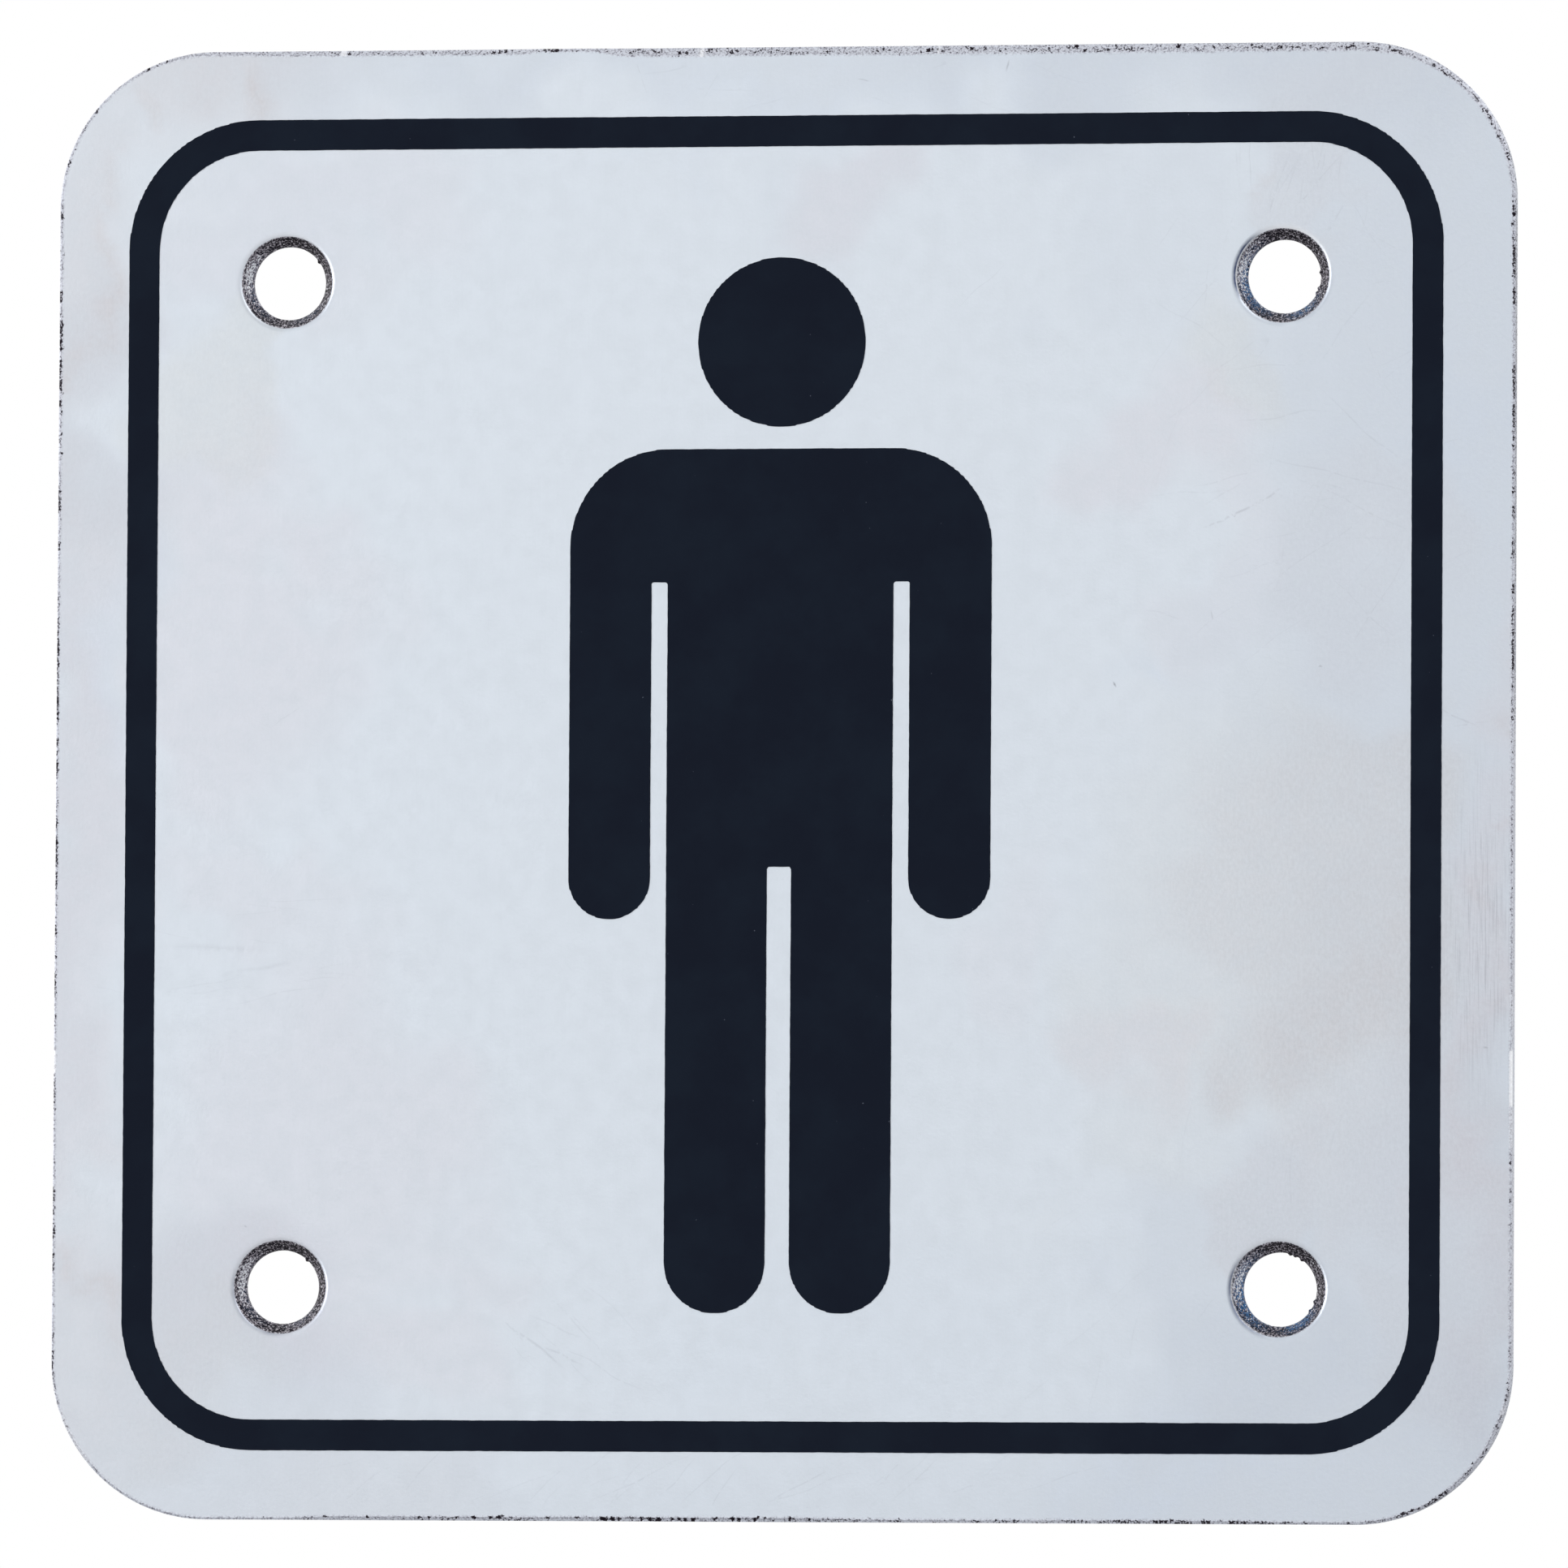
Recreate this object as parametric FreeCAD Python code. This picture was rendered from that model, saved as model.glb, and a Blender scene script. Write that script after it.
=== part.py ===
"""Door sign: a square stainless plate with four screw holes, printed with a border line and a standing figure.

Millimetres, +Z up, +X to the reader's right. The printed front faces -Y. The origin is the centre of the back
face, which lies on the door.
"""
import FreeCAD, Part
import math
import os

from FreeCAD import Vector

# Plate
plate_width = 100.0
plate_height = 100.0
plate_thickness = 1.5
plate_corner_radius = 10.7
edge_break = 0.15                # small chamfer left all round the front by deburring

# Worn bevel, filed along the top edge and round the upper right corner
bevel_width = 0.5
bevel_depth = 0.35
bevel_start_inset = 38.7         # from the plate's left side to where the bevel is at its full width
bevel_fade_length = 5.0          # over which it grows out of the small chamfer

# Screw holes
hole_radius = 2.5
hole_inset_x = 15.8              # from the plate's side to a hole's axis
hole_inset_z = 15.8              # from the plate's upper or lower side to a hole's axis
hole_land_length = 0.4           # straight wall at the back, the rest tapers open to the front
hole_rim_radius = 3.15
rim_roll_reach = 0.65            # the face rolls down into the rim over this width
rim_roll_depth = 0.08

# Ink
ink_thickness = 0.05

# Printed border line
border_inset_x = 4.85            # from the plate's side to the line's outer edge
border_inset_z = 4.7             # from the plate's upper or lower side to the line's outer edge
border_line_width = 2.09
border_corner_radius = 9.0       # at the line's outer edge

# Printed figure
head_radius = 5.75
head_clearance = 7.55            # from the border line down to the head
foot_clearance = 7.3             # from the border line up to the feet
neck_gap = 1.5                   # bare metal between head and shoulders
shoulder_width = 28.94
shoulder_radius = 6.7
torso_width = 15.5               # across both legs too
torso_length = 28.36             # shoulders to the top of the gap between the legs
arm_length = 31.9                # shoulders to the hands' ends
arm_gap = 1.11                   # bare line between an arm and the torso
arm_gap_drop = 9.04              # shoulders to the top of that line
leg_gap = 1.66                   # bare line between the legs
gap_corner_radius = 0.15         # where those bare lines end in square tops

# Worked out
front_y = -plate_thickness
ink_front_y = front_y - ink_thickness
cut_margin = plate_thickness     # how far a cutting tool runs past the metal
side_x = plate_width / 2
top_z = plate_height / 2
hole_x = side_x - hole_inset_x
hole_z = top_z - hole_inset_z
border_inner_z = top_z - border_inset_z - border_line_width
head_z = border_inner_z - head_clearance - head_radius
shoulder_z = head_z - head_radius - neck_gap
arm_gap_top_z = shoulder_z - arm_gap_drop
leg_gap_top_z = shoulder_z - torso_length
shoulder_x = shoulder_width / 2
torso_x = torso_width / 2
arm_inner_x = torso_x + arm_gap
hand_radius = (shoulder_x - arm_inner_x) / 2
hand_z = shoulder_z - arm_length + hand_radius
leg_inner_x = leg_gap / 2
foot_radius = (torso_x - leg_inner_x) / 2
foot_z = -border_inner_z + foot_clearance + foot_radius


def line(start, end):
    """Edge from one (x, z) point to another."""
    return Part.LineSegment(Vector(start[0], 0, start[1]), Vector(end[0], 0, end[1])).toShape()


def arc(centre, radius, start_deg, end_deg):
    """Arc about an (x, z) centre, with angles from +X towards +Z."""
    points = []
    for angle in (start_deg, (start_deg + end_deg) / 2, end_deg):
        turn = math.radians(angle)
        points.append(Vector(centre[0] + radius * math.cos(turn), 0, centre[1] + radius * math.sin(turn)))
    return Part.Arc(*points).toShape()


def prism(edges, start_y, end_y):
    """Solid between two planes across Y, from a closed ring of edges drawn at y = 0."""
    face = Part.Face(Part.Wire(edges))
    face.translate(Vector(0, start_y, 0))
    return face.extrude(Vector(0, end_y - start_y, 0))


def one_solid(shape):
    """The single valid solid that a cut or fillet has to leave."""
    if len(shape.Solids) != 1 or not shape.isValid():
        raise RuntimeError("a cut or fillet doesn't leave one valid solid")
    return shape.Solids[0]


def stands_at(edge, corners):
    """Whether an edge runs along Y through one of these (x, z) corners, on either side of the middle."""
    middle = edge.BoundBox.Center
    straight_back = edge.BoundBox.YLength > ink_thickness / 2
    return straight_back and any(
        abs(abs(middle.x) - x) < gap_corner_radius / 2 and abs(middle.z - z) < gap_corner_radius / 2
        for x, z in corners
    )


def rounded_rectangle(half_x, half_z, radius):
    """Edges of a rectangle about the origin with round corners, in order."""
    across = half_x - radius
    up = half_z - radius
    return [
        line((-across, half_z), (across, half_z)),
        arc((across, up), radius, 90, 0),
        line((half_x, up), (half_x, -up)),
        arc((across, -up), radius, 0, -90),
        line((across, -half_z), (-across, -half_z)),
        arc((-across, -up), radius, -90, -180),
        line((-half_x, -up), (-half_x, up)),
        arc((-across, up), radius, 180, 90),
    ]


def plate_blank():
    """The plate before its holes, with the small chamfer round its front."""
    blank = prism(rounded_rectangle(side_x, top_z, plate_corner_radius), front_y, 0)
    front_edges = [edge for edge in blank.Edges if abs(edge.BoundBox.YMax - front_y) < edge_break / 2]
    return blank.makeChamfer(edge_break, front_edges)


def bevel_section(width, depth, x):
    """Triangle across the top front edge at x: the metal that the bevel takes away, and some air above it."""
    slope = depth / width
    overrun = cut_margin
    inner = Vector(x, front_y, top_z - width)
    outer = Vector(x, front_y + slope * (width + overrun), top_z + overrun)
    above = Vector(x, front_y - overrun, top_z + overrun)
    below = Vector(x, front_y - overrun, top_z - width)
    return Part.makePolygon([inner, outer, above, below, inner])


def worn_bevel():
    """Tools that cut the bevel: it grows along the top edge, runs on, and thins out round the corner."""
    start_x = bevel_start_inset - side_x
    # The corner's part turns about an axis moved towards the side, so that it meets the small chamfer there
    turn_x = side_x - plate_corner_radius + bevel_width - edge_break
    turn_z = top_z - plate_corner_radius
    thin = bevel_section(edge_break, edge_break, start_x - bevel_fade_length)
    full = bevel_section(bevel_width, bevel_depth, start_x)
    fade = Part.makeLoft([thin, full], True, True)
    run = Part.Face(full).extrude(Vector(turn_x - start_x, 0, 0))
    corner_face = Part.Face(bevel_section(bevel_width, bevel_depth, turn_x))
    corner = corner_face.revolve(Vector(turn_x, 0, turn_z), Vector(0, 1, 0), 90)
    return [fade, run, corner]


def screw_hole(x, z):
    """Tool for one hole: straight land at the back, open taper, and the face rolled down into the rim."""
    land_y = -hole_land_length
    rim_y = front_y + rim_roll_depth
    roll_radius = (rim_roll_reach ** 2 + rim_roll_depth ** 2) / (2 * rim_roll_depth)
    half_turn = math.asin(rim_roll_reach / roll_radius) / 2
    face_radius = hole_rim_radius + rim_roll_reach
    roll_start = Vector(hole_rim_radius, rim_y, 0)
    roll_middle = Vector(
        face_radius - roll_radius * math.sin(half_turn),
        front_y + roll_radius * (1 - math.cos(half_turn)),
        0,
    )
    roll_end = Vector(face_radius, front_y, 0)
    air_end = Vector(face_radius, front_y - cut_margin, 0)
    axis_front = Vector(0, front_y - cut_margin, 0)
    axis_back = Vector(0, cut_margin, 0)
    land_back = Vector(hole_radius, cut_margin, 0)
    land_front = Vector(hole_radius, land_y, 0)
    profile = Part.Wire([
        Part.LineSegment(axis_back, land_back).toShape(),
        Part.LineSegment(land_back, land_front).toShape(),
        Part.LineSegment(land_front, roll_start).toShape(),
        Part.Arc(roll_start, roll_middle, roll_end).toShape(),
        Part.LineSegment(roll_end, air_end).toShape(),
        Part.LineSegment(air_end, axis_front).toShape(),
        Part.LineSegment(axis_front, axis_back).toShape(),
    ])
    tool = Part.Face(profile).revolve(Vector(0, 0, 0), Vector(0, 1, 0), 360)
    tool.translate(Vector(x, 0, z))
    return tool


def sign_plate():
    """The whole metal plate."""
    plate = plate_blank()
    for tool in worn_bevel():
        plate = plate.cut(tool)
    for x in (-hole_x, hole_x):
        for z in (-hole_z, hole_z):
            plate = plate.cut(screw_hole(x, z))
    return one_solid(plate)


def border_print():
    """The printed line that runs round inside the plate's edge."""
    outer_x = side_x - border_inset_x
    outer_z = top_z - border_inset_z
    outer = prism(rounded_rectangle(outer_x, outer_z, border_corner_radius), ink_front_y, front_y)
    inner_edges = rounded_rectangle(
        outer_x - border_line_width,
        outer_z - border_line_width,
        border_corner_radius - border_line_width,
    )
    inner = prism(inner_edges, ink_front_y - cut_margin, front_y + cut_margin)
    return one_solid(outer.cut(inner))


def figure_head_print():
    """The figure's round head."""
    return Part.makeCylinder(head_radius, ink_thickness, Vector(0, ink_front_y, head_z), Vector(0, 1, 0))


def figure_body_print():
    """Shoulders, arms, torso and legs in one field of ink, drawn from the left shoulder round to the right."""
    shoulder_turn_x = shoulder_x - shoulder_radius
    shoulder_turn_z = shoulder_z - shoulder_radius
    hand_x = shoulder_x - hand_radius
    foot_x = torso_x - foot_radius
    edges = [
        line((-shoulder_turn_x, shoulder_z), (shoulder_turn_x, shoulder_z)),
        arc((shoulder_turn_x, shoulder_turn_z), shoulder_radius, 90, 0),
        line((shoulder_x, shoulder_turn_z), (shoulder_x, hand_z)),
        arc((hand_x, hand_z), hand_radius, 0, -180),
        line((arm_inner_x, hand_z), (arm_inner_x, arm_gap_top_z)),
        line((arm_inner_x, arm_gap_top_z), (torso_x, arm_gap_top_z)),
        line((torso_x, arm_gap_top_z), (torso_x, foot_z)),
        arc((foot_x, foot_z), foot_radius, 0, -180),
        line((leg_inner_x, foot_z), (leg_inner_x, leg_gap_top_z)),
        line((leg_inner_x, leg_gap_top_z), (-leg_inner_x, leg_gap_top_z)),
        line((-leg_inner_x, leg_gap_top_z), (-leg_inner_x, foot_z)),
        arc((-foot_x, foot_z), foot_radius, 0, -180),
        line((-torso_x, foot_z), (-torso_x, arm_gap_top_z)),
        line((-torso_x, arm_gap_top_z), (-arm_inner_x, arm_gap_top_z)),
        line((-arm_inner_x, arm_gap_top_z), (-arm_inner_x, hand_z)),
        arc((-hand_x, hand_z), hand_radius, 0, -180),
        line((-shoulder_x, hand_z), (-shoulder_x, shoulder_turn_z)),
        arc((-shoulder_turn_x, shoulder_turn_z), shoulder_radius, 180, 90),
    ]
    body = prism(edges, ink_front_y, front_y)
    gap_corners = [(torso_x, arm_gap_top_z), (arm_inner_x, arm_gap_top_z), (leg_inner_x, leg_gap_top_z)]
    rounded_edges = [edge for edge in body.Edges if stands_at(edge, gap_corners)]
    return one_solid(body.makeFillet(gap_corner_radius, rounded_edges))


nodes = {
    "sign_plate": sign_plate(),
    "border_print": border_print(),
    "figure_head_print": figure_head_print(),
    "figure_body_print": figure_body_print(),
}

os.makedirs("parts", exist_ok=True)
for name, shape in nodes.items():
    shape.exportStep("parts/" + name + ".step")
    box = shape.optimalBoundingBox(False, False)
    print(name, round(box.XLength, 3), round(box.YLength, 3), round(box.ZLength, 3), round(shape.Volume, 2))
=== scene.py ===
# Mens toilet door sign, dressed for pictures. The steel plate gets its knocked edges, pressed holes, stains
# and scratches, and the print gets the ragged outline of screen ink.
# Sizes are in millimetres: x to the reader's right, z up, the back face at y = 0 and the front at low y.
import math
import random
from collections import namedtuple

import bmesh
import bpy
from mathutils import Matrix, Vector, geometry, noise


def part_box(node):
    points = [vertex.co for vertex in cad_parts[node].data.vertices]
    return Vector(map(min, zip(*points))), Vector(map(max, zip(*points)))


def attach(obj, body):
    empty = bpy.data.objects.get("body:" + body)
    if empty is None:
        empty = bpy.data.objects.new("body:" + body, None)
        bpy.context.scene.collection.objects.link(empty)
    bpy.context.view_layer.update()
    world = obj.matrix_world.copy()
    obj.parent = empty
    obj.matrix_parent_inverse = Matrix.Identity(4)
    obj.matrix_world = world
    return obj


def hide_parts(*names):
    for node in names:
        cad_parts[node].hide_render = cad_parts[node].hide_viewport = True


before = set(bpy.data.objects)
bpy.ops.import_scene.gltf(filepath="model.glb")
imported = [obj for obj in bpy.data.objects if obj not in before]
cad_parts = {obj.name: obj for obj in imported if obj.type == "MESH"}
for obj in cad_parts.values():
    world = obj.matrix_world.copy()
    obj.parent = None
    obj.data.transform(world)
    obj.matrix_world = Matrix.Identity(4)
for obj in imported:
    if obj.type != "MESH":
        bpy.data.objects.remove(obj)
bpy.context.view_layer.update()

metres = 0.001  # one millimetre in the frame's unit

# Places that the CAD boxes give
plate_low, plate_high = (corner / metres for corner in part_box("sign_plate"))
border_low, border_high = (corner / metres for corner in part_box("border_print"))
head_low, head_high = (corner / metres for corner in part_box("figure_head_print"))
body_low, body_high = (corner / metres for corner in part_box("figure_body_print"))
plate_x = plate_high.x
plate_z = plate_high.z
face_y = plate_low.y
ink_y = border_low.y

# Plate sizes that a box doesn't give, as they are in the CAD
plate_corner_radius = 10.7
hole_place = 34.2  # from the middle to a hole's axis, across and up
hole_radius = 2.5
hole_land_length = 0.4
rim_roll_reach = 0.65
rim_roll_depth = 0.08
bevel_slope = 0.7  # depth over width

# Print sizes that a box doesn't give, as they are in the CAD
border_line_width = 2.09
border_corner_radius = 9.0
shoulder_radius = 6.7
torso_x = 7.75
arm_gap = 1.11
arm_gap_drop = 9.04
arm_length = 31.9
leg_gap = 1.66
torso_length = 28.36
gap_corner_radius = 0.15

# Mesh fineness
edge_spacing = 0.12  # along the plate's edge
bevel_steps = 5
hole_points = 200
wall_steps = 9
print_spacing = 0.1
front_grid = 0.75
back_grid = 4.0
scratch_spacing = 0.35
back_break = 0.12  # small chamfer left at the plate's back edge
rim_margin = 0.1  # rings of flat face beside a bevel, so that it stays crisp
face_margin = 1.0  # ring of flat face that the face's triangles start from
hole_margin = 0.4  # the same round a hole
clear_margin = 0.3  # between that ring and the first loose point
merge_distance = 1e-6
plate_fold_deg = 32  # shading keeps a fold sharper than this
ink_fold_deg = 40

# Knocked edge. A waver here is a list of noises, each a (height, pitch).
edge_roughness = 0.03
edge_roughness_pitch = 0.35
width_waver = [(0.1, 2.3), (0.08, 0.7)]
pit_depth = 0.12
deepest_share = 0.35  # of the bevel's width, for its pits and roughness
side_wear = 0.8
side_grime = (0.7, 0.85)  # of the edge's grime, near the side wall's back and in its middle
clump_level = 0.4  # grime gathers in clumps along the edge
clump_waver = [(5.0, 0.9), (2.0, 0.3)]
lip_level = 0.55  # and on a line that wanders across the bevel, partly as painted shade
lip_waver = [(0.6, 1.6)]
lip_spread = 0.25
narrow_bevel = 0.17  # a bevel this narrow is grimy right across
thin_grime = 0.4  # share of the grime outside the clumps
clump_grime = 0.7  # share that they add
fullest_grime = 0.72
stray_grime = 0.16  # share that strays onto the face

# Hole's rolled rim and rough wall, and the painted shade and highlights on them
roll_shares = (0.3, 0.5, 0.7, 0.85, 0.95)  # rings on the roll
roll_power = 7  # how late the face rolls down
lit_rim_shade = 0.32
dusky_rim_shade = 0.28
top_rim_highlight_level = 0.25
wall_roughness = 0.045
wall_pitch = 0.28
wall_fine_pitch = 0.14
wall_fine_share = 0.6
wall_lean = 0.6  # share of the roughness by which the wall stands inwards
wall_grime = 0.4
grimy_side_grime = 0.3
dusky_side_grime = 0.2
burr_grime = 0.3
burr_reach = 0.12
burr_spread_deg = 5

# Stains: how far their rims wander and fray
stain_wander = 7.0
stain_wander_pitch = 8.0
stain_fray = 2.6
stain_fray_pitch = 2.6

# Scratches
scratch_bow = 0.12  # share of a scratch's half length that it may bow
scratch_bow_pitch = 0.9
scratch_level = 0.7
scratch_waver = [(0.5, 0.6)]

# Fine scratches of a scuffed area
scuff_seed = 5
scuff_half_length = (0.8, 3.8)
scuff_half_width = (0.05, 0.08)
scuff_share = (0.4, 1.2)  # of the area's strength

# What the plate's skin is painted with, apart from its metal's colour
steel_paints = ("soil", "worn", "grime", "fresh", "wall", "glint", "blue", "scratch")

# Screen ink's outline
screen_mesh = 0.33  # the stair steps' pitch on a curve
screen_share = 0.14  # how far a point gives way to the screen's grid
ink_waver = [(0.012, 0.5), (0.012, 2.0)]

# The worn bevel's width along each side, as (place, width). A place is x on the upper and lower edges and z
# on the others, and a corner belongs to the nearer side.
bevel_widths = {
    "top": [
        (-47, 0.1), (-39, 0.22), (-33, 0.32), (-18, 0.34), (-16.8, 0.18), (-13.2, 0.2), (-10.4, 0.56),
        (40, 0.58), (43, 0.48), (47, 0.36),
    ],
    "right": [
        (-47, 0.18), (-43, 0.18), (-41, 0.12), (-26, 0.09), (-22, 0.12), (-18, 0.12), (-16, 0.09),
        (0, 0.12), (8, 0.1), (32, 0.1), (39, 0.18), (47, 0.34),
    ],
    "bottom": [
        (-47, 0.14), (-34, 0.12), (-30, 0.24), (0, 0.26), (8, 0.17), (30, 0.2), (36, 0.14), (47, 0.18),
    ],
    "left": [(-47, 0.18), (-42, 0.13), (-20, 0.12), (8, 0.12), (20, 0.17), (40, 0.18), (47, 0.12)],
}

# How thickly the bevel is darkened with grime and painted shade, as (place, share)
edge_grime = {
    "top": [
        (-47, 0.2), (-39, 0.3), (-34, 0.38), (-20, 0.46), (-17, 0.66), (-13, 0.6), (-10, 0.46), (41, 0.5),
        (47, 0.5),
    ],
    "right": [
        (-47, 0.5), (-40, 0.45), (-36, 0.2), (-27, 0.3), (-25.4, 0.2), (-18, 0.1), (-16, 0.2), (0, 0.3),
        (6, 0.6), (30, 0.64), (38, 0.64), (40, 0.4), (43, 0.66), (47, 0.5),
    ],
    "bottom": [
        (-47, 0.25), (-34, 0.25), (-32, 0.44), (-25.6, 0.44), (-25.2, 0.2), (-24.4, 0.3), (-23.8, 0.48),
        (-20.4, 0.48), (-20.1, 0.2), (-19.4, 0.44), (-15, 0.44), (-14.8, 0.2), (-13, 0.3), (-12, 0.58),
        (-7.8, 0.58), (-7.4, 0.36), (-3.8, 0.48), (-3.3, 0.36), (-2.9, 0.56), (0, 0.45), (8, 0.43),
        (20, 0.43), (28, 0.66), (33, 0.56), (38, 0.4), (47, 0.6),
    ],
    "left": [
        (-47, 0.3), (-40, 0.55), (-20, 0.6), (-17, 0.35), (-14, 0.64), (8, 0.64), (12, 0.5), (21, 0.68),
        (39, 0.62), (42, 0.4), (47, 0.4),
    ],
}

# Dark pits at the edge, as (place, distance in from the edge, radius)
edge_pits = {
    "top": [
        (-44, 0.1, 0.12), (-43.4, 0.1, 0.07), (-42.7, 0.08, 0.09), (-30, 0.2, 0.09), (-26.5, 0.15, 0.06),
        (-20, 0.2, 0.12), (-19.6, 0.15, 0.11), (-19.2, 0.1, 0.1), (-16.9, 0.15, 0.07), (-14.2, 0.12, 0.06),
        (-8.4, 0.1, 0.06), (-7.2, 0.3, 0.09), (-6.7, 0.3, 0.08), (-5.3, 0.28, 0.06), (-3.6, 0.35, 0.09),
        (-3.2, 0.22, 0.09), (-0.9, 0.3, 0.06), (0.6, 0.15, 0.06), (1.6, 0.38, 0.07), (3, 0.28, 0.06),
        (6.8, 0.2, 0.09), (7.2, 0.22, 0.07), (9.4, 0.4, 0.06), (9.9, 0.3, 0.12), (10.15, 0.2, 0.1),
        (10.9, 0.4, 0.08), (12.9, 0.15, 0.09), (13.8, 0.25, 0.08), (14.8, 0.38, 0.08), (15.2, 0.2, 0.06),
        (18.2, 0.2, 0.07), (20.1, 0.14, 0.11), (20.6, 0.38, 0.11), (21.3, 0.25, 0.06), (22.2, 0.36, 0.09),
        (22.75, 0.2, 0.08), (23.8, 0.3, 0.08), (25.7, 0.12, 0.06), (27, 0.15, 0.14), (28.3, 0.3, 0.06),
        (29.5, 0.3, 0.07), (32.2, 0.2, 0.06), (34, 0.3, 0.09), (36, 0.2, 0.06), (38.5, 0.38, 0.07),
        (38.9, 0.22, 0.09), (39.9, 0.12, 0.09), (41.4, 0.15, 0.07), (42.3, 0.4, 0.07), (44.6, 0.3, 0.07),
    ],
    "right": [
        (-46, 0.3, 0.09), (-44.6, 0.25, 0.07), (-43.6, 0.3, 0.07), (-40.5, 0.25, 0.11), (-29.8, 0.12, 0.07),
        (-28.2, 0.1, 0.07), (-25.7, 0.14, 0.1), (-8.7, 0.2, 0.08), (5.4, 0.15, 0.07), (9.2, 0.15, 0.07),
        (15, 0.2, 0.07), (21.2, 0.26, 0.1), (24.9, 0.16, 0.07), (27.6, 0.22, 0.09), (34, 0.24, 0.09),
        (35.5, 0.26, 0.08), (37.5, 0.22, 0.11), (38.2, 0.1, 0.1), (43.6, 0.3, 0.1), (44.5, 0.36, 0.1),
        (45.4, 0.36, 0.08),
    ],
    "bottom": [
        (-40.4, 0.3, 0.07), (-35.2, 0.3, 0.11), (-33, 0.25, 0.09), (-31, 0.25, 0.1), (-28.1, 0.2, 0.1),
        (-24.5, 0.2, 0.09), (-23.8, 0.2, 0.1), (-21.9, 0.2, 0.1), (-20.7, 0.2, 0.14), (-19.6, 0.2, 0.1),
        (-19, 0.25, 0.13), (-18.7, 0.35, 0.1), (-15.6, 0.2, 0.09), (-13.7, 0.2, 0.1), (-11.8, 0.16, 0.12),
        (-11.2, 0.16, 0.12), (-10.7, 0.16, 0.11), (-9.8, 0.2, 0.11), (-9.2, 0.16, 0.12), (-8.6, 0.16, 0.12),
        (-8, 0.14, 0.11), (-7.1, 0.14, 0.11), (-6.6, 0.14, 0.12), (-6.2, 0.12, 0.11), (-5.6, 0.12, 0.12),
        (-4.1, 0.2, 0.12), (-2.9, 0.2, 0.14), (-2.5, 0.14, 0.13), (-1.4, 0.14, 0.15), (-1.2, 0.3, 0.1),
        (-0.7, 0.3, 0.1), (1, 0.3, 0.14), (2.3, 0.25, 0.09), (4.6, 0.25, 0.07), (6.4, 0.25, 0.07),
        (8.5, 0.25, 0.07), (12, 0.2, 0.06), (15, 0.25, 0.07), (18.5, 0.4, 0.14), (23.4, 0.25, 0.07),
        (27, 0.3, 0.07), (29.2, 0.35, 0.12), (30.4, 0.3, 0.1), (32.3, 0.3, 0.09), (35, 0.2, 0.07),
        (40.2, 0.25, 0.07), (42.8, 0.25, 0.14), (43.4, 0.2, 0.13),
    ],
    "left": [
        (-37.4, 0.15, 0.07), (-30.4, 0.14, 0.07), (-24.5, 0.12, 0.06), (-11.8, 0.14, 0.07),
        (-6.3, 0.14, 0.07), (-1.2, 0.14, 0.07), (4.5, 0.14, 0.08), (8.2, 0.14, 0.07), (22.6, 0.3, 0.12),
        (24, 0.24, 0.09), (25.4, 0.26, 0.12), (26.7, 0.34, 0.13), (29.7, 0.3, 0.12), (31.3, 0.3, 0.12),
        (33.6, 0.2, 0.09), (36.2, 0.34, 0.13), (38.7, 0.2, 0.09), (42.5, 0.2, 0.09), (43.5, 0.2, 0.07),
        (46, 0.15, 0.09),
    ],
}

# Bright spots on the edge, struck metal with a painted highlight, as (first place, last place, how bright)
edge_chips = {
    "top": [(-30.7, -30.1, 0.5), (-5.9, -5.4, 0.5), (10.5, 10.8, 0.6)],
    "right": [(-42.8, -42, 0.25), (-24.8, -22, 0.25), (-22, -18, 0.75), (-16.6, -14.2, 0.15)],
    "bottom": [],
    "left": [(-19.8, -18, 0.5), (-46.4, -42.6, 0.25)],
}

# The four holes: which way from the middle, rim radius, how strong a painted shadow is on one side of the
# rolled rim, with the middle of that side and how far it reaches round, how bright a painted highlight ring
# shows inside that shadow, how strong a painted highlight is on the opposite side and its middle, how
# strongly the wall shows painted bluish reflections, and burrs left at the back of the opening. All angles
# are in degrees, and a middle is measured from +X towards +Z.
hole_facts = "across up rim black black_deg reach_deg ring polish polished_deg blue burrs"
Hole = namedtuple("Hole", hole_facts)
holes = [
    Hole(-1, 1, 3.13, 0.2, 225, 80, 0.0, 0.3, 56, 0.2, [36]),
    Hole(1, 1, 3.18, 1.0, 165, 60, 0.6, 0.9, 64, 0.8, [-19, -27, 6]),
    Hole(-1, -1, 3.16, 0.5, 220, 75, 0.0, 0.1, 50, 0.15, [48]),
    Hole(1, -1, 3.21, 0.8, 198, 75, 0.35, 0.2, 24, 1.0, [54, 66, 74, -19, -35]),
]
glint_deg = 166  # the middle of the painted highlight streak on a wall
darkest_wall_deg = 90  # the side of a wall darkest with painted shade
dusky_deg = 232  # another side darkened with painted shade, on the wall and on the rolled rim
top_rim_highlight_deg = 100  # where a rolled rim turns from the light, brightened with a painted highlight
blue_reflection_deg = (190, 302)  # the middles of a wall's stretches of painted bluish reflection
lit_deg = -10  # where a rolled rim catches the light, toned down with painted shade

# Camera, fitted to the corners, holes and line in the photograph
camera_place = (191.66, -1153.08, -56.77)
camera_turn = (92.78, -0.328, 9.418)  # in degrees
focal_length = 396.4  # of a 36 mm sensor
sensor_width = 36.0

# Floor and lamps
floor_drop = 70.0  # below the plate's lower edge
floor_size = 24.0  # in metres
ambient_level = 0.62
lamps = [  # name, place and size in metres, power
    ("key_lamp", (-1.1, -0.9, -0.02), 0.7, 8.4),
    ("fill_lamp", (0.9, -1.2, 0.9), 0.9, 5.0),
    ("back_lamp", (0.3, 1.4, 0.9), 0.9, 6.0),
]


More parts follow.
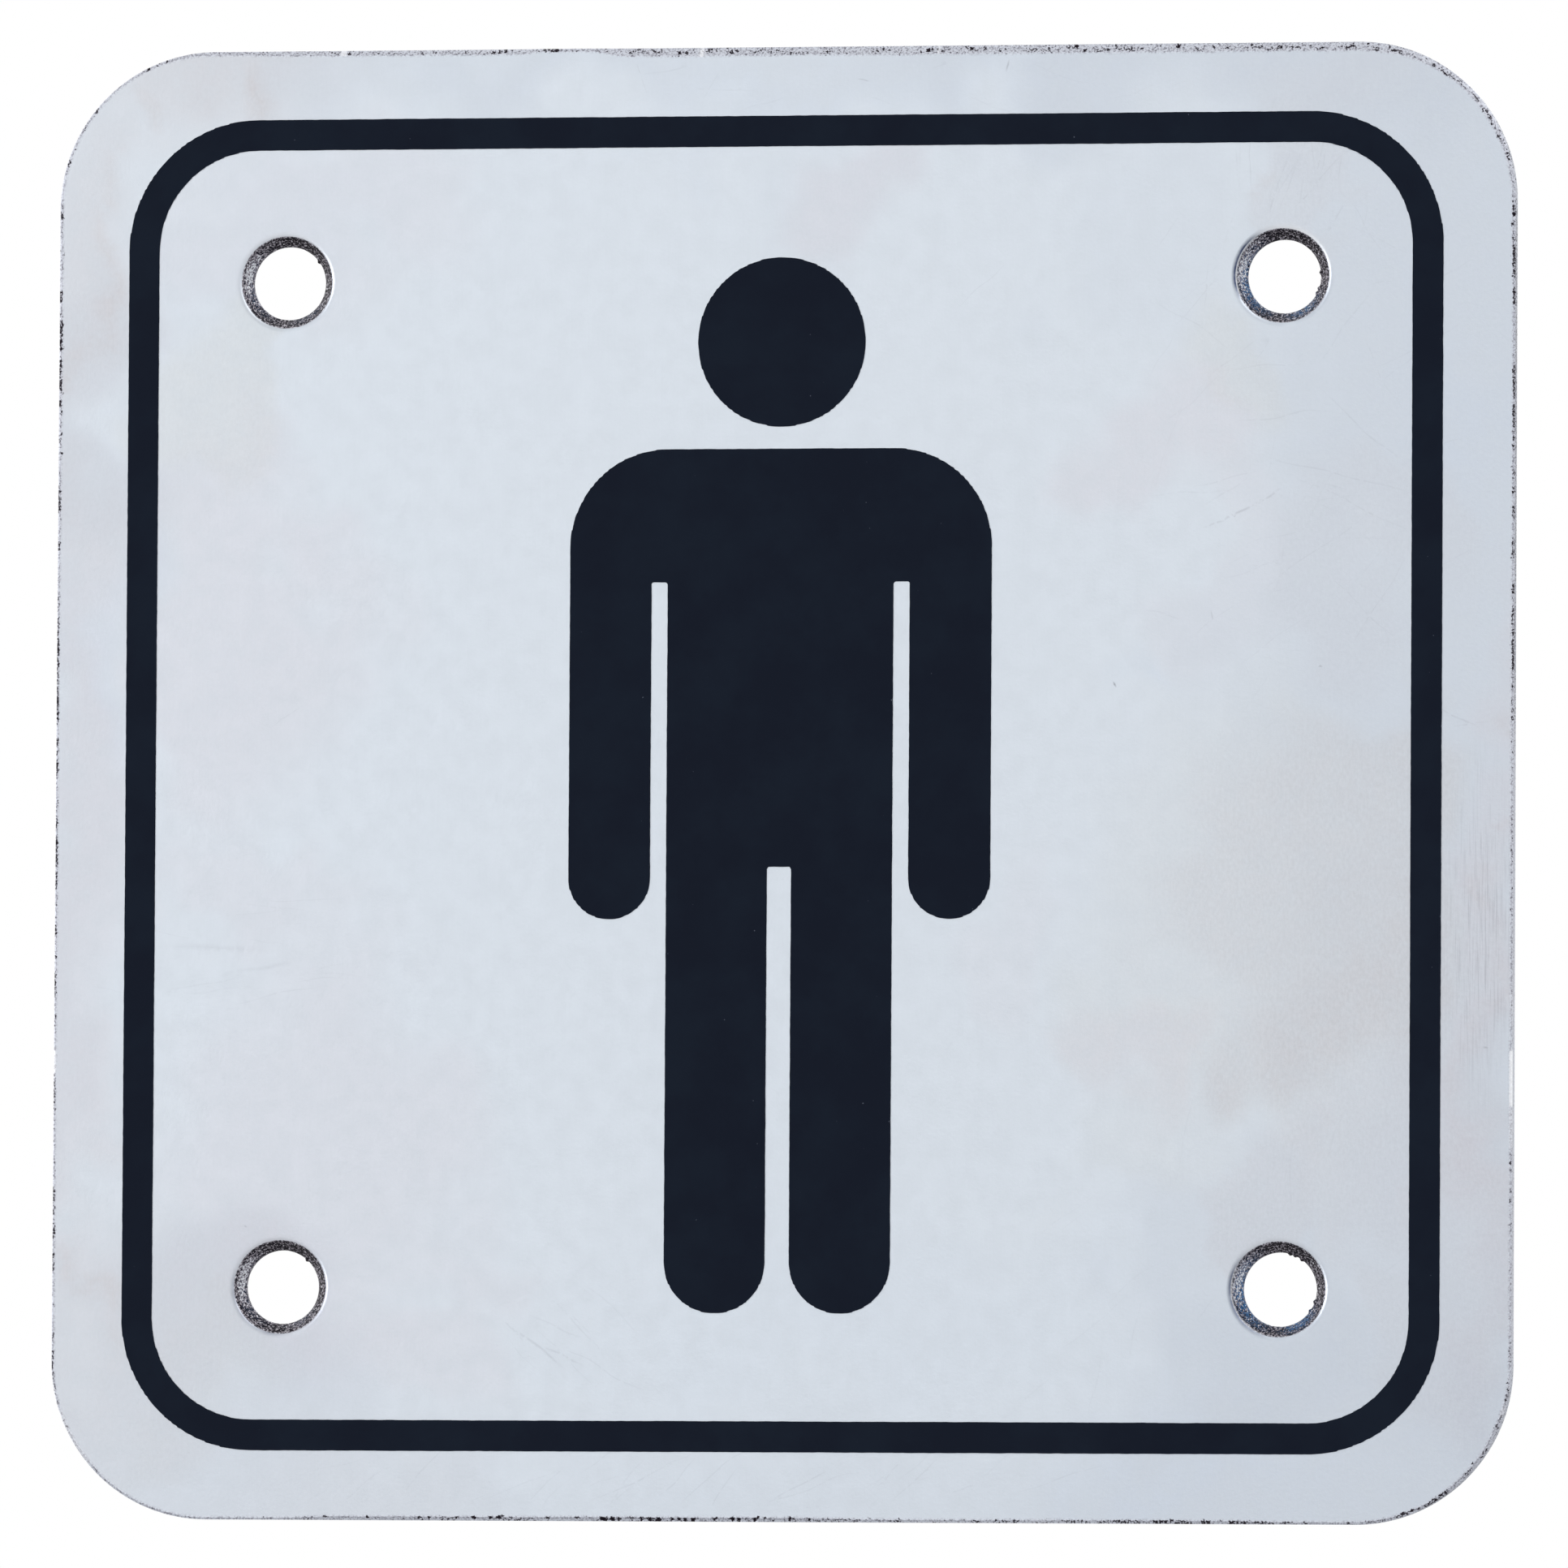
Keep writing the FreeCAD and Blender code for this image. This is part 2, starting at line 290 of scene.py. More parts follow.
def srgb(red, green, blue):
    """A colour as a shader takes it, from the 0 to 255 numbers that a picture shows."""
    linear = []
    for value in (red / 255, green / 255, blue / 255):
        linear.append(value / 12.92 if value <= 0.04045 else ((value + 0.055) / 1.055) ** 2.4)
    return (*linear, 1.0)


# Colours
steel_colour = srgb(216, 223, 231)
mark_kinds = {  # colour, the soft share of its ellipses, and how gritty it makes the metal
    # painted_shade: a darker blue-grey that stands for shade on the face
    "painted_shade": (srgb(190, 197, 209), 0.45, 0.3),
    "warm": (srgb(202, 200, 204), 0.9, 0.6),
    "brown": (srgb(196, 186, 186), 0.4, 4.0),
    "ochre": (srgb(205, 205, 200), 0.45, 1.6),
    "pink": (srgb(212, 205, 212), 0.6, 0.8),
    "blue": (srgb(198, 210, 228), 0.9, 0.6),
    "rust": (srgb(186, 150, 128), 0.9, 4.0),
}
scratch_colour = srgb(122, 124, 134)
# Painted shadow on a hole's rolled rim, a dark blue-grey
rim_shadow_colour = srgb(66, 76, 104)
# A hole's wall, drawn towards the dark colour by grime and painted shade
wall_colour = srgb(164, 158, 166)
wall_dark_colour = srgb(28, 24, 32)
# Painted sparkle highlights in a hole's wall
wall_bright_colour = srgb(238, 241, 246)
# Painted bluish reflection in a hole's wall
wall_blue_reflection_colour = srgb(58, 108, 156)
# Dark grime and painted shade
grime_colour = srgb(44, 38, 46)
# Darker edge tone, partly grime and partly painted shade
edge_colour = srgb(180, 176, 188)
worn_colour = srgb(208, 212, 220)
worn_dark_colour = srgb(150, 150, 160)
# Fresh metal and painted highlights
fresh_colour = srgb(250, 251, 253)
ink_colour = srgb(13, 20, 34)
ink_patch_colour = srgb(19, 27, 40)
ink_speck_colour = srgb(92, 98, 112)
floor_colour = srgb(236, 237, 239)

# Stains, and patches of painted shade that darken the face towards the right, along its margins and round
# some holes, as (colour, x, z, half width, half height, turn in degrees, strength)
marks = [
    ("painted_shade", 60, 8, 34.5, 92, 0, 0.37), ("painted_shade", 30, 54, 28, 13, 0, 0.3), ("painted_shade", -6, 55, 60, 11, 0, 0.2),
    ("painted_shade", 0, -54, 62, 12, 0, 0.13), ("painted_shade", 44, -52, 32, 22, 0, 0.3),
    ("painted_shade", 31, -35, 14, 11, 0, 0.26), ("painted_shade", -37, 36, 9, 8, 0, 0.08), ("painted_shade", 3, 39, 6, 5, 0, 0.1),
    ("painted_shade", -48, 10, 6, 12, 0, 0.1), ("warm", -42, 49, 18, 8, 0, 0.5), ("warm", -46, 22, 8, 12, 0, 0.3),
    ("warm", -37, -36, 9, 8, 0, 0.24), ("painted_shade", 24, 36, 8, 8, 0, 0.1), ("painted_shade", -24, 48, 18, 5, 0, 0.12),
    ("painted_shade", -40, -41, 14, 12, 0, 0.16), ("painted_shade", -48, 24, 8, 10, 0, 0.24),
    ("painted_shade", 51, -30, 4, 26, 0, 0.2), ("painted_shade", -51, -12, 4, 32, 0, 0.14), ("warm", 38, 48, 7, 4, 0, 0.14),
    ("ochre", 25, -25, 6, 6, 0, 0.12), ("warm", -51, 30, 10, 26, 0, 0.42), ("warm", -51, -4, 8, 40, 0, 0.2),
    ("warm", -50, -38, 14, 24, 0, 0.38), ("warm", -30, -50, 20, 8, 0, 0.2),
    ("warm", 51, -14, 5, 36, 0, 0.26), ("ochre", 34, -9, 15, 20, 8, 0.16), ("ochre", 31, 27, 7, 6, 0, 0.22),
    ("ochre", -38, 27, 4, 8, 0, 0.24), ("ochre", 25, -18, 5, 6, 0, 0.12),
    ("ochre", -40, -40, 6, 6, 0, 0.16), ("brown", 37, -9, 11, 16, 8, 0.15),
    ("brown", 39, -21, 8, 10, 0, 0.13), ("brown", 33, -29, 4, 5, 0, 0.14), ("brown", 40, 15, 7, 9, 0, 0.08),
    ("brown", 37, 41, 4, 8, 30, 0.1), ("brown", 48, -14, 4, 14, 0, 0.08), ("brown", 48, -32, 6, 14, 0, 0.1),
    ("pink", 25, -19, 5, 7, 20, 0.24), ("pink", 26, 22, 6, 7, 0, 0.26), ("pink", -31, -26, 14, 19, 0, 0.22),
    ("pink", -37, 12, 10, 18, 0, 0.26), ("pink", -33, 38, 14, 8, 0, 0.16), ("pink", 4, 39, 6, 4, 30, 0.24),
    ("pink", -22, -38, 8, 7, 0, 0.18), ("pink", 16, -12, 4, 6, 0, 0.12), ("pink", -38, -8, 8, 7, 0, 0.18),
    ("pink", 31, 15, 6, 8, 0, 0.12), ("pink", -49, -8, 5, 34, 0, 0.2), ("pink", 49, -12, 4, 34, 0, 0.18),
    ("pink", -37, -37, 13, 10, 0, 0.14), ("painted_shade", -37, -37, 13, 10, 0, 0.16),
    ("blue", 6, -37, 27, 10, 0, 0.08), ("blue", -47, 6, 3, 12, 0, 0.16), ("blue", 27, 9, 4, 3, 0, 0.16),
    ("blue", 4, 47, 34, 4, 0, 0.1), ("blue", 46, 26, 4, 16, 0, 0.14), ("blue", 28, -46, 16, 5, 0, 0.16),
    ("rust", -37, 47.3, 3, 1.8, 0, 0.14), ("rust", -46, 44.6, 2.6, 2, 40, 0.12),
    ("rust", 49.5, -2, 0.8, 20, 0, 0.06), ("rust", 41, -11, 2, 3, 0, 0.08),
    ("rust", -49, 32, 1.6, 12, 0, 0.1), ("rust", -49, -36, 1.6, 10, 0, 0.1),
    ("rust", 34, 41.5, 1, 3, -12, 0.06),
]

# Scratches on the face, as (x, z, half length, half width, turn in degrees, strength)
scratches = [
    (31.4, 18.3, 1.8, 0.12, 28, 0.34), (33.2, 19.2, 1.2, 0.1, 34, 0.24), (29.6, 17.4, 0.8, 0.1, 20, 0.24),
    (30.5, 20.4, 2.4, 0.07, 12, 0.14), (37.8, 20.8, 5.5, 0.08, -14, 0.14),
    (39.2, 18.6, 4.5, 0.07, -24, 0.14), (36.6, 15.4, 5, 0.07, 36, 0.12), (39.6, 23.8, 4.2, 0.07, -40, 0.12),
    (34.4, 24.6, 3.4, 0.08, 8, 0.12), (40.8, 12.2, 3.6, 0.07, 58, 0.1), (41, 27.4, 3, 0.06, -62, 0.1),
    (33, 38.2, 4.6, 0.08, 68, 0.14), (36.2, 40.2, 3.4, 0.07, 48, 0.16), (39.8, 37.6, 3, 0.06, -55, 0.1),
    (13.6, 33.6, 2.2, 0.06, 40, 0.12), (-16.6, -38.2, 2.6, 0.12, -34, 0.24),
    (-14.6, -38.8, 1.6, 0.1, -26, 0.2), (-18.2, -37, 1.2, 0.08, -50, 0.16),
    (-38.6, -11.2, 3.8, 0.3, -4, 0.12), (-36, -12.6, 2.6, 0.2, 10, 0.1), (5.5, 47.7, 0.45, 0.06, -12, 0.5),
    (15.4, 48.6, 0.5, 0.1, 70, 0.4), (-9.8, 48, 1.2, 0.05, -68, 0.2), (22.9, 6.6, 0.24, 0.1, -50, 0.9),
    (29.5, 11.2, 0.4, 0.07, -75, 0.5), (31, 17.9, 0.3, 0.1, 15, 0.4), (-36.6, -30.1, 0.14, 0.1, 0, 0.6),
    (-30.8, -36.1, 0.22, 0.12, 30, 0.5), (36.9, 7.8, 0.16, 0.1, 0, 0.6), (48.2, -17.9, 0.2, 0.1, 0, 0.6),
    (45.8, 4.4, 2.2, 0.08, -24, 0.24), (47.2, 3.8, 1.4, 0.06, 10, 0.2), (26.4, 37.2, 1.2, 0.06, 60, 0.1),
    (-10, -47.4, 3.2, 0.07, 24, 0.16), (-4.2, -46.9, 3.4, 0.06, 36, 0.18),
    (1.6, -47.6, 2.8, 0.07, 28, 0.18), (-16, -47.8, 2.4, 0.06, 44, 0.14), (-24, -46.4, 3, 0.06, 50, 0.12),
    (44.6, -2.4, 0.12, 0.1, 0, 0.5), (-48.9, 39.2, 0.12, 0.2, 0, 0.5), (-34, 4.6, 1.4, 0.06, 32, 0.1),
]

# Brushing left on the right margin, as (x, z, half width, half height), and its strength
brushed_area = (47.8, -10, 3.4, 16)
brushed_strength = 0.26

# Scuffed areas of fine scratches, as (x, z, half width, half height, count, turn in degrees, how far each
# scratch may turn from that, strength)
scuffs = [
    (36, 24, 10, 14, 44, 24, 60, 0.1), (35, 41, 4, 5, 16, 80, 24, 0.14), (38, 12, 8, 9, 20, 10, 60, 0.1),
    (-6, -47.4, 30, 1.8, 26, 36, 20, 0.14), (-15, -38, 4, 3, 8, -38, 24, 0.14),
    (-38, -11, 8, 4, 12, 0, 12, 0.1), (28, -33, 15, 10, 14, 62, 30, 0.08),
    (-2, 47.5, 26, 1.6, 10, 20, 40, 0.1),
]


def smooth(share):
    """0 to 1 with soft ends."""
    share = min(1.0, max(0.0, share))
    return share * share * (3 - 2 * share)


def between(profile, place):
    """A value read off a list of (place, value), with soft steps from one to the next."""
    if place <= profile[0][0]:
        return profile[0][1]
    for (start, first), (end, last) in zip(profile, profile[1:]):
        if place <= end:
            return first + (last - first) * smooth((place - start) / (end - start))
    return profile[-1][1]


def wave(x, y, z, pitch):
    """Even noise from -1 to 1 with features about one pitch across."""
    return noise.noise(Vector((x, y, z)) / pitch)


def waver(place, seed, layers):
    """Noises of these heights and pitches added up at an (x, z) place, each with a seed of its own."""
    return sum(
        height * wave(place.x, seed + step, place.y, pitch)
        for step, (height, pitch) in enumerate(layers)
    )


def line(start, end, spacing=print_spacing):
    """Points from one (x, z) place up to the next, each with its outward normal, for a clockwise outline."""
    run = Vector(end) - Vector(start)
    count = max(2, math.ceil(run.length / spacing))
    normal = Vector((-run.y, run.x)).normalized()
    return [(Vector(start) + run * step / count, normal) for step in range(count)]


def arc(centre, radius, start_deg, end_deg, spacing=print_spacing):
    """The same round an arc, whose normal points to its centre where the arc turns anticlockwise."""
    sweep = math.radians(end_deg - start_deg)
    count = max(2, math.ceil(abs(sweep) * radius / spacing))
    sense = 1 if sweep < 0 else -1
    points = []
    for step in range(count):
        angle = math.radians(start_deg) + sweep * step / count
        outward = Vector((math.cos(angle), math.sin(angle)))
        points.append((Vector(centre) + outward * radius, outward * sense))
    return points


def rounded_rectangle(half_x, half_z, radius, spacing=print_spacing):
    """The outline of a rectangle about the middle with round corners."""
    across = half_x - radius
    up = half_z - radius
    return (
        line((-across, half_z), (across, half_z), spacing)
        + arc((across, up), radius, 90, 0, spacing)
        + line((half_x, up), (half_x, -up), spacing)
        + arc((across, -up), radius, 0, -90, spacing)
        + line((across, -half_z), (-across, -half_z), spacing)
        + arc((-across, -up), radius, -90, -180, spacing)
        + line((-half_x, -up), (-half_x, up), spacing)
        + arc((-across, up), radius, 180, 90, spacing)
    )


def ellipse_share(away, half_x, half_z, turn_deg, soft):
    """1 well inside a turned ellipse and 0 outside it, at a place given from its middle."""
    reach = max(half_x, half_z)
    if max(abs(away.x), abs(away.y)) > reach:
        return 0.0
    turn = math.radians(turn_deg)
    across = (away.x * math.cos(turn) + away.y * math.sin(turn)) / half_x
    up = (away.y * math.cos(turn) - away.x * math.sin(turn)) / half_z
    return smooth((1 - math.hypot(across, up)) / soft)


def metal_colour(place):
    """The face's colour at a place, with its stains and painted shade, and how soiled it is there."""
    drift = Vector([stain_wander * wave(place.x, seed, place.y, stain_wander_pitch) for seed in (11, 12)])
    drift += Vector([stain_fray * wave(place.x, seed, place.y, stain_fray_pitch) for seed in (13, 14)])
    colour = Vector(steel_colour)
    clean = 1.0
    for name, x, z, half_x, half_z, turn_deg, strength in marks:
        mark_colour, soft, grit = mark_kinds[name]
        share = ellipse_share(place + drift - Vector((x, z)), half_x, half_z, turn_deg, soft)
        if share > 0:
            colour = colour.lerp(Vector(mark_colour), share * strength)
            clean *= 1 - share * min(1.0, strength * grit)
    return colour, 1 - clean


def steel_point(place, y, shadow=0.0, **paints):
    """One point of the plate's skin at an (x, z) place, with its paints and a share of painted shadow."""
    metal, soil = metal_colour(place) if y < face_y / 2 else (Vector(steel_colour), 0.0)
    point = dict.fromkeys(steel_paints, 0.0)
    point["at"] = (place.x, y, place.y)
    # Painted shadow: the metal's colour drawn towards the rim's shadow colour
    point["metal"] = tuple(metal.lerp(Vector(rim_shadow_colour), shadow))
    point["soil"] = soil
    point.update(paints)
    return point


def new_object(name, data):
    """An object in the scene that shows this data."""
    made = bpy.data.objects.new(name, data)
    bpy.context.scene.collection.objects.link(made)
    return made


class Skin:
    """Collects points, faces and the paint at each point, and makes the piece from them."""

    def __init__(self, paints=()):
        self.points = []
        self.faces = []
        self.paints = {name: [] for name in paints}

    def add(self, point):
        """Takes one point and gives its number."""
        self.points.append(point["at"])
        for name, values in self.paints.items():
            values.append(point[name])
        return len(self.points) - 1

    def ring(self, points):
        """Takes a closed loop of points and gives their numbers."""
        return [self.add(point) for point in points]

    def band(self, first, second):
        """Faces between two closed loops of as many points."""
        count = len(first)
        for index in range(count):
            follow = (index + 1) % count
            self.faces.append((first[index], first[follow], second[follow], second[index]))

    def fill(self, outer, gaps=(), loose=()):
        """Flat faces inside a closed loop, through loose points, but not in the convex gaps inside it."""
        numbers = list(outer)
        owners = [None] * len(numbers)
        edges = [(index - 1, index) for index in range(1, len(numbers))] + [(len(numbers) - 1, 0)]
        for gap_number, gap in enumerate(gaps):
            start = len(numbers)
            edges += [(start + index, start + (index + 1) % len(gap)) for index in range(len(gap))]
            numbers += gap
            owners += [gap_number] * len(gap)
        numbers += loose
        owners += [None] * len(loose)
        flat = [Vector((self.points[number][0], self.points[number][2])) for number in numbers]
        made = geometry.delaunay_2d_cdt(flat, edges, [], 1, merge_distance)
        faces, sources = made[2], made[3]
        for face in faces:
            corners = [sources[corner][0] for corner in face]
            around = {owners[corner] for corner in corners}
            if None in around or len(around) > 1:
                self.faces.append(tuple(numbers[corner] for corner in corners))

    def piece(self, name, material, node, sharp_deg):
        """The finished object, which rides on the plate's body and stands for a CAD node."""
        mesh = bpy.data.meshes.new(name)
        mesh.from_pydata([Vector(point) * metres for point in self.points], [], self.faces)
        for paint, values in self.paints.items():
            if isinstance(values[0], tuple):
                flat = [number for colour in values for number in colour]
                mesh.attributes.new(paint, "FLOAT_COLOR", "POINT").data.foreach_set("color", flat)
            else:
                mesh.attributes.new(paint, "FLOAT", "POINT").data.foreach_set("value", values)
        shape = bmesh.new()
        shape.from_mesh(mesh)
        bmesh.ops.recalc_face_normals(shape, faces=shape.faces)
        shape.to_mesh(mesh)
        shape.free()
        mesh.shade_smooth()
        mesh.set_sharp_from_angle(angle=math.radians(sharp_deg))
        mesh.materials.append(material)
        made = new_object(name, mesh)
        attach(made, "root")
        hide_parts(node)
        return made


def nearest_side(place, normal):
    """The side that a place on the plate's edge belongs to, and its place along that side."""
    if abs(normal.y) >= abs(normal.x):
        return ("top" if normal.y > 0 else "bottom"), place.x
    return ("right" if normal.x > 0 else "left"), place.y


def pit_at(side, along, inset):
    """How deep in a dark pit a point of the bevel lies, from 0 to 1."""
    depth = 0.0
    for pit_along, pit_inset, radius in edge_pits[side]:
        if abs(along - pit_along) < 2 * radius:
            reach = math.hypot(along - pit_along, inset - pit_inset) / radius
            depth = max(depth, smooth(1.6 - reach))
    return depth


def chip_at(side, along):
    """How bright the struck metal and its painted highlight are at a place along the edge, from 0 to 1."""
    bright = 0.0
    for first, last, strength in edge_chips[side]:
        bright = max(bright, strength * smooth((along - first) / 0.2) * smooth((last - along) / 0.2))
    return bright


def edge_section(place, normal):
    """The plate's section at one place on its edge, from the flat back round to the flat front."""
    side, along = nearest_side(place, normal)
    width = between(bevel_widths[side], along) * (1 + waver(place, 1, width_waver))
    foot_y = face_y + width * bevel_slope
    grime = between(edge_grime[side], along)
    chip = chip_at(side, along)
    clump = smooth(clump_level + waver(place, 3, clump_waver))
    lip_share = lip_level + waver(place, 5, lip_waver)
    narrow = smooth(2 - width / narrow_bevel)

    def at(inset):
        return place - normal * inset

    section = [
        steel_point(at(back_break + hole_margin), 0),
        steel_point(at(back_break), 0, worn=0.4),
        steel_point(at(0), -back_break, worn=side_wear, grime=side_grime[0] * grime),
        steel_point(at(0), (foot_y - back_break) / 2, worn=side_wear, grime=side_grime[1] * grime),
    ]
    for step in range(bevel_steps + 1):
        share = step / bevel_steps
        inset = width * share
        y = foot_y + (face_y - foot_y) * share
        pit = pit_at(side, along, inset)
        middle = 1 - (2 * share - 1) ** 2
        rough = edge_roughness * (1 + wave(place.x, share * 3, place.y, edge_roughness_pitch)) / 2
        sunk = min((rough + pit * pit_depth) * middle, width * deepest_share) * math.sqrt(0.5)
        band = max(narrow, smooth(1.5 - abs(share - lip_share) / lip_spread))
        lip = min(fullest_grime, grime * (thin_grime + clump_grime * clump * band))
        section.append(steel_point(
            at(inset + sunk),
            y + sunk,
            worn=1.0,
            grime=min(1.0, lip * (1 - 0.9 * chip) + pit),
            fresh=chip * (1 - pit),
        ))
    pit = pit_at(side, along, width + rim_margin)
    stray = max(0.6 * pit, stray_grime * grime * clump)
    section.append(steel_point(at(width + rim_margin), face_y, worn=0.3, grime=stray))
    section.append(steel_point(at(width + 2 * rim_margin), face_y))
    section.append(steel_point(at(face_margin), face_y))
    return section


def hole_section(hole, middle, angle):
    """A hole's section at one angle round it, from the flat front down through its wall to the flat back."""
    outward = Vector((math.cos(angle), math.sin(angle)))
    rim = hole.rim
    land_y = -hole_land_length
    rim_y = face_y + rim_roll_depth
    burr = 0.0

    def at(radius):
        return middle + outward * radius

    def away_deg(middle_deg):
        """How far round the hole this section is from another angle."""
        return abs((math.degrees(angle) - middle_deg + 180) % 360 - 180)

    def facing(middle_deg):
        """1 at one angle round the hole, and 0 a quarter turn from it and beyond."""
        return max(0.0, math.cos(math.radians(away_deg(middle_deg))))

    for burr_deg in hole.burrs:
        burr = max(burr, smooth(1 - away_deg(burr_deg) / burr_spread_deg))
    # black is how strong the painted shadow is on this side of the rolled rim
    in_rim_shadow = smooth(1.6 * (1 - away_deg(hole.black_deg) / hole.reach_deg))
    black = hole.black * in_rim_shadow
    # glint: where the wall gets painted highlight streaks and sparkle
    glint = facing(glint_deg) ** 4
    # A painted highlight on the side opposite the painted shadow
    polish = hole.polish * facing(hole.polished_deg) ** 2
    # Painted shade that dims the roll where it catches the light and on the dusky side, and a painted
    # highlight near its top
    rim_dimming = max(lit_rim_shade * facing(lit_deg) * (1 - polish), dusky_rim_shade * facing(dusky_deg) ** 2)
    top_rim_highlight = top_rim_highlight_level * facing(top_rim_highlight_deg) ** 2 * (1 - in_rim_shadow)
    # Painted bluish reflection on the wall
    blue_reflection = hole.blue * max(facing(blue_reflection_deg[0]) ** 2, facing(blue_reflection_deg[1]) ** 10)
    # The wall darkened by grime and by painted shade, most on its darkest and dusky sides
    wall_darkening = wall_grime + grimy_side_grime * facing(darkest_wall_deg) ** 2 + dusky_side_grime * facing(dusky_deg) ** 2
    section = [
        steel_point(at(rim + rim_roll_reach + hole_margin), face_y),
        steel_point(at(rim + rim_roll_reach), face_y),
    ]
    for share in roll_shares:
        sag = rim_roll_depth * share ** roll_power
        place = at(rim + rim_roll_reach * (1 - share))
        # Painted shade and painted highlights on the roll; the highlights go on with the fresh paint
        shadow = max(black * smooth((share - 0.55) / 0.3), rim_dimming * smooth((share - 0.4) / 0.4))
        bright = polish * share ** 4 + top_rim_highlight * smooth(2 * share - 0.8)
        section.append(steel_point(place, face_y + sag, shadow, fresh=0.9 * bright))
    # A thin painted highlight ring at the rim, inside the painted shadow
    ring = hole.ring * in_rim_shadow ** 2
    section.append(steel_point(at(rim), rim_y, max(black - ring, 0), worn=0.1, wall=0.9 - ring, fresh=ring))
    for step in range(1, wall_steps + 1):
        share = step / wall_steps
        radius = rim + (hole_radius - rim) * share
        y = rim_y + (land_y - rim_y) * share
        spot = at(radius)
        rough = wave(spot.x, y, spot.y, wall_pitch)
        rough += wall_fine_share * wave(spot.x, y + 9, spot.y, wall_fine_pitch)
        burred = burr * smooth(share * 3 - 2)
        radius += wall_roughness * (rough - wall_lean) * smooth(4 * (1 - share) + 0.25) - burr_reach * burred
        # Painted highlight streak and painted bluish reflection down the wall
        streak = glint * smooth(2 - abs(share - 0.5) * 5)
        grime = wall_darkening - 0.1 * share - 0.25 * streak + burr_grime * burred
        blue = blue_reflection * smooth((share + 0.1) / 0.7)
        glow = 0.35 * glint + 0.65 * streak
        section.append(steel_point(at(radius), y, grime=grime, wall=1.0, glint=glow, blue=blue))
    return section + [
        steel_point(at(hole_radius - burr * burr_reach), land_y / 2, grime=0.3, wall=1.0),
        steel_point(at(hole_radius), -back_break / 2, wall=1.0),
        steel_point(at(hole_radius + back_break / 2), 0, wall=0.3),
        steel_point(at(hole_radius + hole_margin), 0),
    ]


def rings_of(skin, sections):
    """Adds sections side by side as rings, with faces between them, and gives the first and last ring."""
    rings = [skin.ring([section[row] for section in sections]) for row in range(len(sections[0]))]
    for first, second in zip(rings, rings[1:]):
        skin.band(first, second)
    return rings[0], rings[-1]


def is_clear(place):
    """True for a place on the plate's flat that is clear of its edge and its holes."""
    across = max(abs(place.x) - (plate_x - plate_corner_radius), 0)
    up = max(abs(place.y) - (plate_z - plate_corner_radius), 0)
    if math.hypot(across, up) > plate_corner_radius - face_margin - clear_margin:
        return False
    reach = max(hole.rim for hole in holes) + rim_roll_reach + hole_margin + clear_margin
    return all((place - middle).length > reach for middle in hole_middles)


def grid_points(skin, y, pitch):
    """Loose points over one flat of the plate."""
    columns = math.floor(plate_x / pitch)
    rows = math.floor(plate_z / pitch)
    spots = [
        Vector((column, row)) * pitch
        for column in range(-columns, columns + 1)
        for row in range(-rows, rows + 1)
    ]
    return [skin.add(steel_point(place, y)) for place in spots if is_clear(place)]


def scuff_scratches():
    """The fine scratches of the scuffed areas, scattered in the same way each time."""
    scatter = random.Random(scuff_seed)
    fine = []
    for x, z, half_x, half_z, count, turn_deg, spread_deg, strength in scuffs:
        for _ in range(count):
            fine.append((
                x + half_x * scatter.uniform(-1, 1),
                z + half_z * scatter.uniform(-1, 1),
                scatter.uniform(*scuff_half_length),
                scatter.uniform(*scuff_half_width),
                turn_deg + spread_deg * scatter.uniform(-1, 1),
                strength * scatter.uniform(*scuff_share),
            ))
    return fine


def scratch_points(skin):
    """Loose points in three rows along each scratch, of which the middle row is painted."""
    numbers = []
    for x, z, half_length, half_width, turn_deg, strength in scratches + scuff_scratches():
        turn = math.radians(turn_deg)
        along = Vector((math.cos(turn), math.sin(turn)))
        across = Vector((-along.y, along.x))
        steps = math.ceil(half_length / scratch_spacing)
        for step in range(-steps, steps + 1):
            share = step / steps
            bow = half_length * scratch_bow * wave(x, share, z, scratch_bow_pitch)
            middle = Vector((x, z)) + along * half_length * share + across * bow
            depth = strength * (1 - abs(share) ** 3) * (scratch_level + waver(middle, 8, scratch_waver))
            for side in (-1, 0, 1):
                place = middle + across * half_width * side
                if is_clear(place):
                    numbers.append(skin.add(steel_point(place, face_y, scratch=0.0 if side else depth)))
    return numbers


def plate_piece(material):
    """The steel plate, with its edge all round, its four holes, and its flat front and back."""
    skin = Skin(("metal", *steel_paints))
    outline = rounded_rectangle(plate_x, plate_z, plate_corner_radius, edge_spacing)
    back_loop, front_loop = rings_of(skin, [edge_section(place, normal) for place, normal in outline])
    front_gaps = []
    back_gaps = []
    for hole, middle in zip(holes, hole_middles):
        angles = [2 * math.pi * step / hole_points for step in range(hole_points)]
        front, back = rings_of(skin, [hole_section(hole, middle, angle) for angle in angles])
        front_gaps.append(front)
        back_gaps.append(back)
    skin.fill(front_loop, front_gaps, grid_points(skin, face_y, front_grid) + scratch_points(skin))
    skin.fill(back_loop, back_gaps, grid_points(skin, 0, back_grid))
    return skin.piece("steel_plate", material, "sign_plate", plate_fold_deg)


def ragged(outline):
    """An outline as screen ink leaves it: stair steps on curves and a slight waver everywhere."""
    places = []
    for place, normal in outline:
        snapped = Vector((round(place.x / screen_mesh), round(place.y / screen_mesh))) * screen_mesh
        curved = min(1.0, 6 * abs(normal.x * normal.y))
        places.append(place + (snapped - place) * screen_share * curved + normal * waver(place, 5, ink_waver))
    return places


